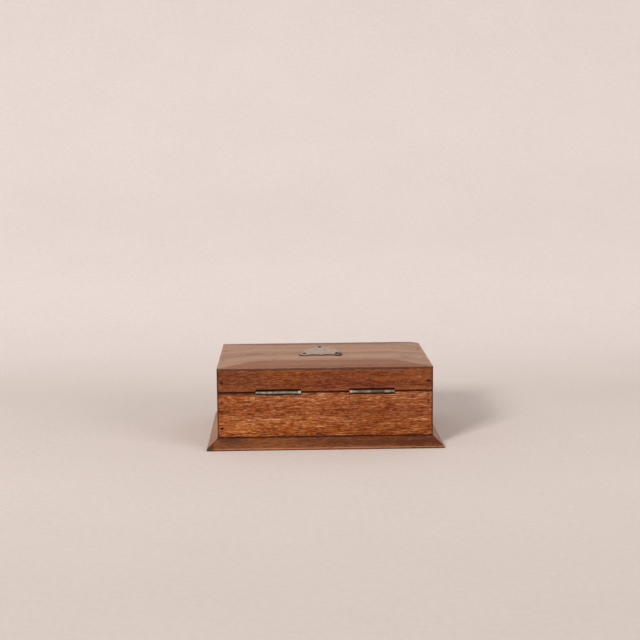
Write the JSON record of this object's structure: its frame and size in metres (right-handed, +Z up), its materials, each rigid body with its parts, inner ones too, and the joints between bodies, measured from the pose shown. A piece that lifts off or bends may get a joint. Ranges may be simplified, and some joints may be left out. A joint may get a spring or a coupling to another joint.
{
  "type": "desk letter box",
  "caption": "Rectangular wooden desk box for letters on a bevelled plinth, with a cushion-topped lid on two butt hinges and a shield plate pinned to the lid.",
  "frame": {"origin": "middle of the plinth's foot, on the surface that the box stands on", "axes": "+X along the box's length, to the left as seen from behind; +Y towards the hinged back, so that the front faces -Y; +Z up"},
  "size_m": [0.2636, 0.1916, 0.0958],
  "materials": {
    "carcase_wood": "oiled open-grained hardwood, orange brown with dark flecks",
    "lid_wood": "waxed hardwood, red brown, with a dull sheen on top",
    "plinth_wood": "waxed hardwood, dark brown, worn along the lip",
    "inside_wood": "bare planed wood, unvarnished",
    "hinge_metal": "dull tarnished plating",
    "shield_metal": "dull silvery sheet, lightly scratched and tarnished",
    "dark_iron": "dark, oxidised"
  },
  "bodies": {
    "box": {"plinth_front": "plinth_wood", "plinth_back": "plinth_wood", "plinth_left": "plinth_wood", "plinth_right": "plinth_wood", "bottom_board": "inside_wood", "front_board": "carcase_wood", "back_board": "carcase_wood", "left_side_board": "carcase_wood", "right_side_board": "carcase_wood", "carcase_nails": "dark_iron", "plinth_nails": "dark_iron", "left_hinge_box_leaf": "hinge_metal", "right_hinge_box_leaf": "hinge_metal", "left_hinge_pin": "hinge_metal", "right_hinge_pin": "hinge_metal", "box_leaf_screws": "hinge_metal"},
    "lid": {"lid_front_rail": "lid_wood", "lid_back_rail": "lid_wood", "lid_left_rail": "lid_wood", "lid_right_rail": "lid_wood", "lid_top_board": "lid_wood", "lid_nails": "dark_iron", "top_board_nails": "dark_iron", "left_hinge_lid_leaf": "hinge_metal", "right_hinge_lid_leaf": "hinge_metal", "lid_leaf_screws": "hinge_metal", "shield_plate": "shield_metal", "shield_pins": "dark_iron"}
  },
  "joints": [
    {"name": "lid_hinge", "type": "hinge", "parent": "box", "child": "lid", "pos_m": [0, 0.085, 0.06325], "axis": [-1, 0, 0], "range_deg": [0, 180]}
  ]
}
